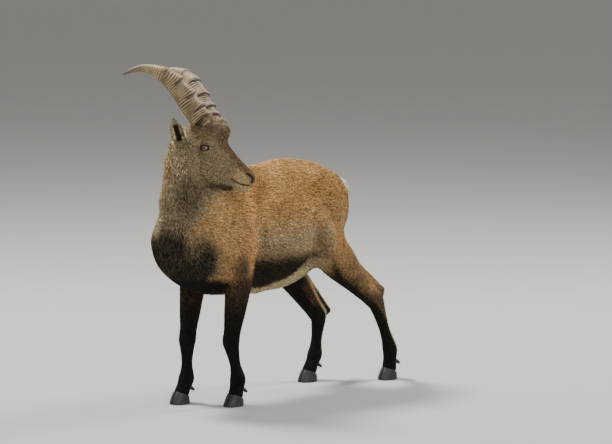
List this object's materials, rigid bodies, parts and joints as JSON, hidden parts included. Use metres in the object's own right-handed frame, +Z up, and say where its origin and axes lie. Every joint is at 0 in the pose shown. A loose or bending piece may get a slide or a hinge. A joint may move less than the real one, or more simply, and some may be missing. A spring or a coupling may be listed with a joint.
{
  "type": "alpine ibex model",
  "caption": "Life-size young male alpine ibex standing with its head turned to its left, with ridged backswept horns.",
  "frame": {"origin": "bottom centre of the bounding box, on the ground between the feet", "axes": "+Z up; the animal faces -Y; its left side is +X"},
  "size_m": [0.4925, 1.1002, 1.1981],
  "materials": {
    "body_coat": "short coat",
    "neck_coat": "short coat",
    "head_coat": "very short coat",
    "tail_coat": "short coat",
    "ear_coat": "very short coat",
    "leg_coat": "very short coat",
    "eye": "glossy",
    "horn": "ridged horn, dull",
    "claw": "dull"
  },
  "bodies": {
    "root": {"torso": "body_coat", "neck": "neck_coat", "head": "head_coat", "tail": "tail_coat", "ear_left": "ear_coat", "eye_left": "eye", "horn_left": "horn", "fore_upper_left": "leg_coat", "fore_lower_left": "leg_coat", "claw_fore_left_inner": "claw", "dewclaw_fore_left_inner": "claw", "claw_fore_left_outer": "claw", "dewclaw_fore_left_outer": "claw", "hind_upper_left": "leg_coat", "hind_lower_left": "leg_coat", "claw_hind_left_inner": "claw", "dewclaw_hind_left_inner": "claw", "claw_hind_left_outer": "claw", "dewclaw_hind_left_outer": "claw", "ear_right": "ear_coat", "eye_right": "eye", "horn_right": "horn", "fore_upper_right": "leg_coat", "fore_lower_right": "leg_coat", "claw_fore_right_inner": "claw", "dewclaw_fore_right_inner": "claw", "claw_fore_right_outer": "claw", "dewclaw_fore_right_outer": "claw", "hind_upper_right": "leg_coat", "hind_lower_right": "leg_coat", "claw_hind_right_inner": "claw", "dewclaw_hind_right_inner": "claw", "claw_hind_right_outer": "claw", "dewclaw_hind_right_outer": "claw"}
  },
  "joints": []
}
